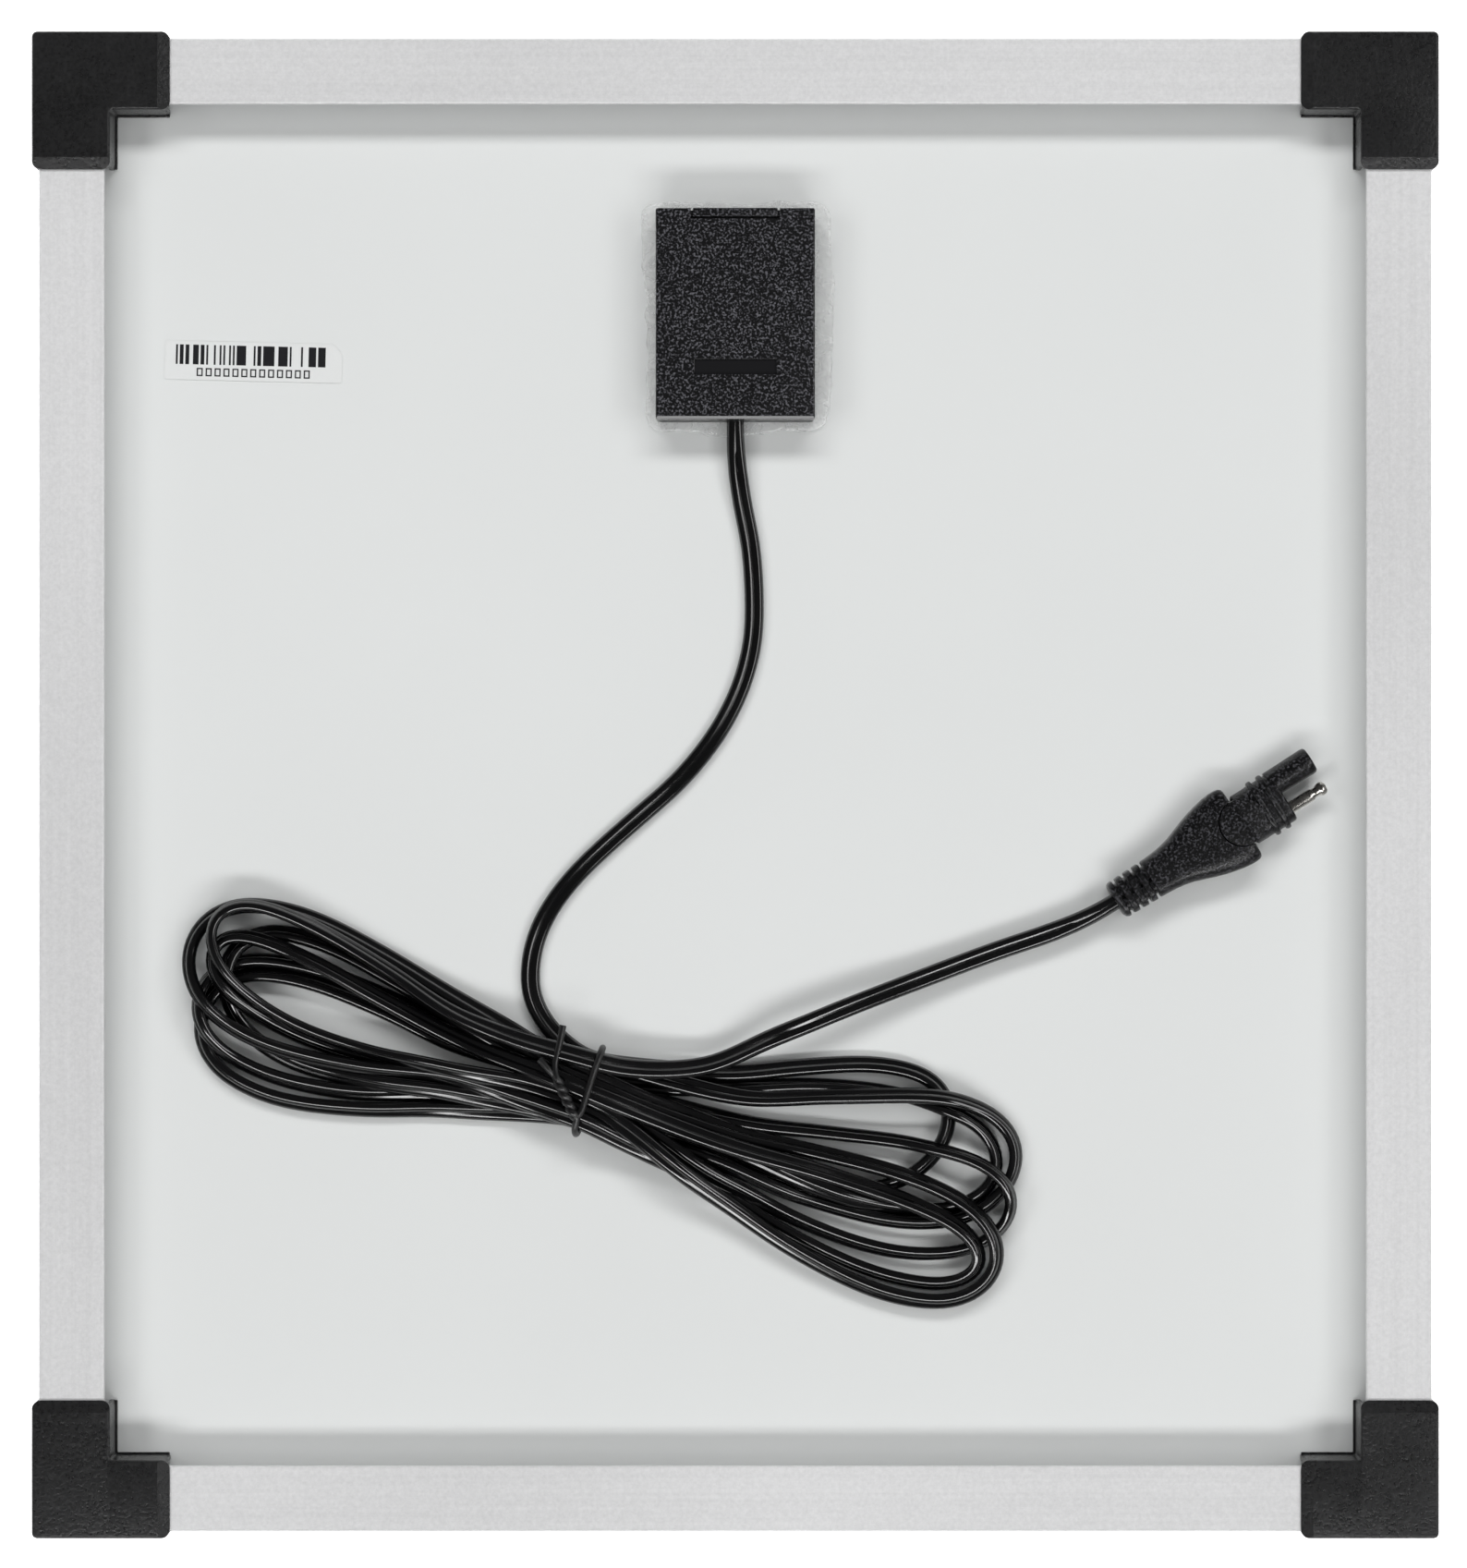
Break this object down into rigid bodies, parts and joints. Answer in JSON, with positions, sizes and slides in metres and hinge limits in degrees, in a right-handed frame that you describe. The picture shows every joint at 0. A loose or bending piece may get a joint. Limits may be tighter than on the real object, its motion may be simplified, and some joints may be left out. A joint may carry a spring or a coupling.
{
  "type": "solar panel with lead",
  "caption": "Small framed solar panel, seen from its white rear, with a junction box whose lid slides off and a black twin lead tied in a bundle, ending in a two-pole plug.",
  "frame": {"origin": "on the surface the corner caps' front faces stand on, under the middle of the panel", "axes": "+Z from the glass to the rear face, +Y along the panel to the end with the junction box, +X to the right when looking at the rear with the junction box at the top"},
  "size_m": [0.3532, 0.3782, 0.0212],
  "materials": {
    "anodised_aluminium": "satin anodised",
    "cap_plastic": "fine leather grain",
    "key_aluminium": "mill finish",
    "glass": "clear float glass",
    "encapsulant": "clear cured film",
    "cell_silicon": "dark blue, anti-reflective coated silicon",
    "tinned_copper": "tinned",
    "backsheet_white": "white film, slight sheen",
    "edge_sealant": "pale cured sealant",
    "label_paper": "white sticker, slight sheen",
    "box_plastic": "spark textured",
    "clear_silicone": "translucent, glossy",
    "diode_epoxy": "moulded epoxy",
    "core_red": "smooth insulation",
    "core_black": "smooth insulation",
    "zinc_screw": "zinc plated",
    "cable_jacket": "smooth, semi-gloss",
    "tie_plastic": "smooth",
    "connector_rubber": "moulded, fine matt",
    "nickel_plate": "nickel plated"
  },
  "bodies": {
    "panel": {"rail_top": "anodised_aluminium", "rail_bottom": "anodised_aluminium", "rail_left": "anodised_aluminium", "rail_right": "anodised_aluminium", "corner_cap_top_left": "cap_plastic", "corner_cap_top_right": "cap_plastic", "corner_cap_bottom_left": "cap_plastic", "corner_cap_bottom_right": "cap_plastic", "corner_key_top_left": "key_aluminium", "corner_key_top_right": "key_aluminium", "corner_key_bottom_left": "key_aluminium", "corner_key_bottom_right": "key_aluminium", "backsheet": "backsheet_white", "serial_label": "label_paper", "junction_box_base": "box_plastic", "silicone_bead": "clear_silicone", "cable_lead_in": "cable_jacket", "cable_hank": "cable_jacket", "cable_lead_out": "cable_jacket", "twist_tie": "tie_plastic", "connector_overmould": "connector_rubber", "connector_housing": "connector_rubber", "connector_pin": "nickel_plate", "connector_socket": "nickel_plate", "edge_seal": "edge_sealant", "front_glass": "glass", "encapsulant_front": "encapsulant", "encapsulant_rear": "encapsulant", "cell_string_1": "cell_silicon", "cell_string_2": "cell_silicon", "cell_string_3": "cell_silicon", "cell_string_4": "cell_silicon", "bus_ribbon_left": "tinned_copper", "bus_ribbon_right": "tinned_copper", "bus_ribbon_middle": "tinned_copper", "output_ribbon_left": "tinned_copper", "output_ribbon_right": "tinned_copper", "terminal_left": "tinned_copper", "terminal_right": "tinned_copper", "blocking_diode": "diode_epoxy", "core_left": "core_red", "core_right": "core_black", "cable_clamp": "box_plastic", "clamp_screw_left": "zinc_screw", "clamp_screw_right": "zinc_screw"},
    "lid": {"junction_box_lid": "box_plastic"}
  },
  "joints": [
    {"name": "lid_slide", "type": "slide", "parent": "panel", "child": "lid", "axis": [0, -1, 0], "range_m": [0, 0.04]}
  ]
}
